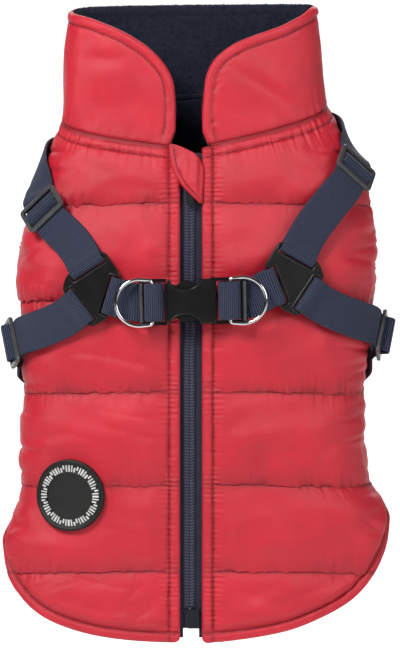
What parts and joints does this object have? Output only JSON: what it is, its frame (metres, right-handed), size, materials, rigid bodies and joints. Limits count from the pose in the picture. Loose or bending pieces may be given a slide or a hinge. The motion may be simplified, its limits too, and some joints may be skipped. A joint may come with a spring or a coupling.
{
  "type": "dog vest",
  "caption": "Padded quilted dog vest with a stand-up collar, a zip along the back and a built-in webbing harness with a side-release buckle and lead rings.",
  "frame": {"origin": "centre of the neck opening, level with the collar seam at the zip", "axes": "+Z from the tail to the head, -Y the back with the zip, +X the wearer's right"},
  "size_m": [0.2004, 0.0945, 0.3264],
  "materials": {
    "shell_red": "semi-gloss nylon",
    "lining_navy": "matt fleece",
    "webbing_navy": "ribbed webbing",
    "tape_navy": "woven tape",
    "plastic_black": "satin",
    "rubber_black": "matt",
    "chrome": "polished"
  },
  "bodies": {
    "vest": {"back_panel_left": "shell_red", "back_panel_right": "shell_red", "belly_panel": "shell_red", "buckle_plug": "plastic_black", "buckle_socket": "plastic_black", "chin_flap": "shell_red", "collar_lining": "lining_navy", "collar_outer": "shell_red", "joiner_left": "plastic_black", "joiner_right": "plastic_black", "lining_back_left": "lining_navy", "lining_back_right": "lining_navy", "lining_belly": "lining_navy", "patch": "rubber_black", "slider_lower_left": "plastic_black", "slider_lower_right": "plastic_black", "slider_upper_left": "plastic_black", "slider_upper_right": "plastic_black", "strap_centre_left": "webbing_navy", "strap_centre_right": "webbing_navy", "strap_lower_left": "webbing_navy", "strap_lower_right": "webbing_navy", "strap_upper_left": "webbing_navy", "strap_upper_right": "webbing_navy", "zip_chain": "tape_navy", "zip_end_box": "plastic_black", "zip_slider": "plastic_black", "zip_tape_left": "tape_navy", "zip_tape_right": "tape_navy"},
    "lead_ring_left": {"d_ring_left": "chrome"},
    "lead_ring_right": {"d_ring_right": "chrome"}
  },
  "joints": [
    {"name": "ring_left_hinge", "type": "hinge", "parent": "vest", "child": "lead_ring_left", "pos_m": [-0.01999, -0.0477, -0.07749], "axis": [-0.0246, 0, 0.9997], "range_deg": [0, 150]},
    {"name": "ring_right_hinge", "type": "hinge", "parent": "vest", "child": "lead_ring_right", "pos_m": [0.01999, -0.0477, -0.07651], "axis": [0.0246, 0, -0.9997], "range_deg": [0, 150]}
  ]
}
